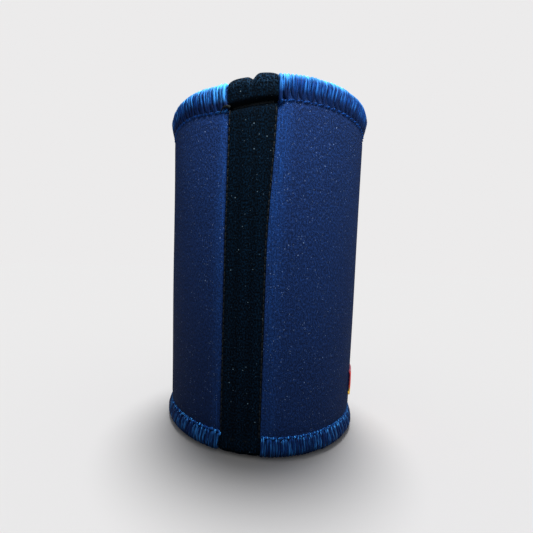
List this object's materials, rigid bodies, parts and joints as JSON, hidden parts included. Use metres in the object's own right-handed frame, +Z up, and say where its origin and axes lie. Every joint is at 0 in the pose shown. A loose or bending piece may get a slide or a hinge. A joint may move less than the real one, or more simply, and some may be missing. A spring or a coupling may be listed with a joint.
{
  "type": "tubular wrist splint",
  "caption": "Tubular neoprene wrist splint with overlocked rims, a taped seam and a removable metal stay in a channel behind the tape.",
  "frame": {"origin": "centre of the sleeve's bottom rim, on the axis of the bore", "axes": "+Z up the bore towards the channel's open end; the taped seam faces -Y; the label is on the +X side"},
  "size_m": [0.0736, 0.0732, 0.1131],
  "materials": {
    "navy_jersey": "matte",
    "foam": "matte",
    "black_jersey": "matte",
    "black_tape": "matte",
    "black_thread": "matte",
    "blue_thread": "satin",
    "purple_thread": "matte",
    "woven_label": "satin",
    "stay_metal": "brushed",
    "vinyl": "satin"
  },
  "bodies": {
    "sleeve": {"foam_sleeve": "foam", "face_jersey": "navy_jersey", "lining_jersey": "black_jersey", "butt_seam_thread": "black_thread", "seam_tape": "black_tape", "channel_back_tape": "black_tape", "channel_front_tape": "black_tape", "left_needle_row": "black_thread", "right_needle_row": "black_thread", "left_bobbin_row": "black_thread", "right_bobbin_row": "black_thread", "top_bar_tack": "black_thread", "bottom_bar_tack": "black_thread", "mouth_hem_thread": "black_thread", "top_needle_thread": "blue_thread", "top_upper_looper": "blue_thread", "top_lower_looper": "blue_thread", "bottom_needle_thread": "blue_thread", "bottom_upper_looper": "blue_thread", "bottom_lower_looper": "blue_thread", "side_label": "woven_label", "label_thread": "purple_thread"},
    "stay": {"stay_bar": "stay_metal", "stay_upper_tip": "vinyl", "stay_lower_tip": "vinyl"}
  },
  "joints": [
    {"name": "stay_slide", "type": "slide", "parent": "sleeve", "child": "stay", "axis": [0, 0, 1], "range_m": [0, 0.1]}
  ]
}
